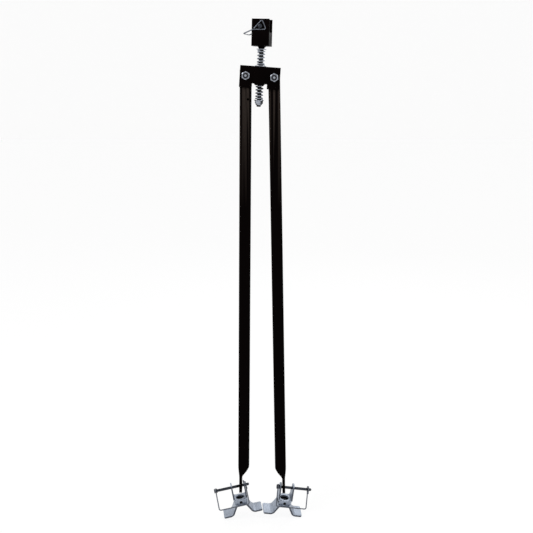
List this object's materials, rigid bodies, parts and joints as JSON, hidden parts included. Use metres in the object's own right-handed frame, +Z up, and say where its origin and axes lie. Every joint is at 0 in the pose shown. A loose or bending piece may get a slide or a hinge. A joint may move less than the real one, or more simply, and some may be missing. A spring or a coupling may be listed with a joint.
{
  "type": "spring-cushioned tow bar",
  "caption": "Folding A-frame tow bar: a pinned hitch head on a spring-cushioned swivel, a pivot bracket, two long tube legs and clevis feet with wire-latched lock pins.",
  "frame": {"origin": "middle of the hitch pin, where it crosses the slot in the hitch head", "axes": "+Z up the bar from the feet to the hitch head, +X to the right seen from the lock-nut side, +Y to the rear, where the bolt heads are"},
  "size_m": [0.2259, 0.0719, 1.1208],
  "materials": {
    "black_paint": "gloss black powder coat",
    "zinc": "bright zinc plate",
    "bright_steel": "polished zinc plate",
    "spring_steel": "bright drawn wire",
    "black_steel": "black oxide",
    "dark_nylon": "matt"
  },
  "bodies": {
    "hitch": {"hitch_head": "black_paint", "swivel_boss": "black_paint", "spring_bolt": "bright_steel", "head_washer": "bright_steel", "upper_spring": "spring_steel", "lower_spring": "spring_steel", "end_washer": "bright_steel", "end_locknut": "bright_steel", "end_locknut_insert": "dark_nylon"},
    "hitch_pin": {"hitch_pin": "bright_steel"},
    "hitch_pin_wire": {"hitch_pin_bail": "spring_steel"},
    "cushion": {"upper_web_washer": "bright_steel", "lower_web_washer": "bright_steel"},
    "bracket": {"pivot_bracket": "black_paint", "left_pivot_bolt": "bright_steel", "left_pivot_washer": "bright_steel", "left_pivot_locknut": "bright_steel", "left_pivot_insert": "dark_nylon", "right_pivot_bolt": "bright_steel", "right_pivot_washer": "bright_steel", "right_pivot_locknut": "bright_steel", "right_pivot_insert": "dark_nylon"},
    "left_leg": {"left_leg": "black_paint"},
    "left_foot": {"left_foot_clevis": "zinc", "left_foot_strap": "zinc", "left_foot_bolt": "black_steel", "left_foot_nut": "bright_steel"},
    "left_pin": {"left_lock_pin": "bright_steel"},
    "left_pin_wire": {"left_lock_bail": "spring_steel"},
    "right_leg": {"right_leg": "black_paint"},
    "right_foot": {"right_foot_clevis": "zinc", "right_foot_strap": "zinc", "right_foot_bolt": "black_steel", "right_foot_nut": "bright_steel"},
    "right_pin": {"right_lock_pin": "bright_steel"},
    "right_pin_wire": {"right_lock_bail": "spring_steel"}
  },
  "joints": [
    {"name": "cushion_slide", "type": "slide", "parent": "hitch", "child": "cushion", "axis": [-0.0523, 0, -0.9986], "range_m": [-0.012, 0.015], "stiffness_N_per_m": 10000, "springref_m": -0.00383, "deforming": ["upper_spring", "lower_spring"]},
    {"name": "bracket_swivel", "type": "hinge", "parent": "cushion", "child": "bracket", "pos_m": [-0.00321, 0, -0.08128], "axis": [0.0698, 0, 0.9976], "continuous": true},
    {"name": "hitch_pin_slide", "type": "slide", "parent": "hitch", "child": "hitch_pin", "axis": [-0.1907, -0.9816, 0.005], "range_m": [0, 0.0155]},
    {"name": "hitch_wire_swing", "type": "hinge", "parent": "hitch_pin", "child": "hitch_pin_wire", "pos_m": [0.00724, 0.03725, -0.00019], "axis": [0.1907, 0.9816, -0.005], "range_deg": [-25, 100]},
    {"name": "left_leg_spread", "type": "hinge", "parent": "bracket", "child": "left_leg", "pos_m": [-0.0346, 0, -0.10014], "axis": [0, 1, 0], "range_deg": [0, 70]},
    {"name": "left_foot_swing", "type": "hinge", "parent": "left_leg", "child": "left_foot", "pos_m": [-0.05705, -0.00077, -1.0293], "axis": [0.9773, 0.1097, 0.1811], "range_deg": [-30, 30]},
    {"name": "left_pin_slide", "type": "slide", "parent": "left_foot", "child": "left_pin", "axis": [0.9773, 0.1097, 0.1811], "range_m": [0, 0.032]},
    {"name": "left_wire_swing", "type": "hinge", "parent": "left_pin", "child": "left_pin_wire", "pos_m": [-0.05705, -0.00077, -1.0293], "axis": [-0.9773, -0.1097, -0.1811], "range_deg": [0, 100]},
    {"name": "right_leg_spread", "type": "hinge", "parent": "bracket", "child": "right_leg", "pos_m": [0.02525, 0, -0.10432], "axis": [0, -1, 0], "range_deg": [0, 70]},
    {"name": "right_foot_swing", "type": "hinge", "parent": "right_leg", "child": "right_foot", "pos_m": [0.05583, 0.00077, -1.03313], "axis": [0.9817, 0.1097, -0.1555], "range_deg": [-30, 30]},
    {"name": "right_pin_slide", "type": "slide", "parent": "right_foot", "child": "right_pin", "axis": [-0.9817, -0.1097, 0.1555], "range_m": [0, 0.032]},
    {"name": "right_wire_swing", "type": "hinge", "parent": "right_pin", "child": "right_pin_wire", "pos_m": [0.05583, 0.00077, -1.03313], "axis": [-0.9817, -0.1097, 0.1555], "range_deg": [0, 100]}
  ]
}
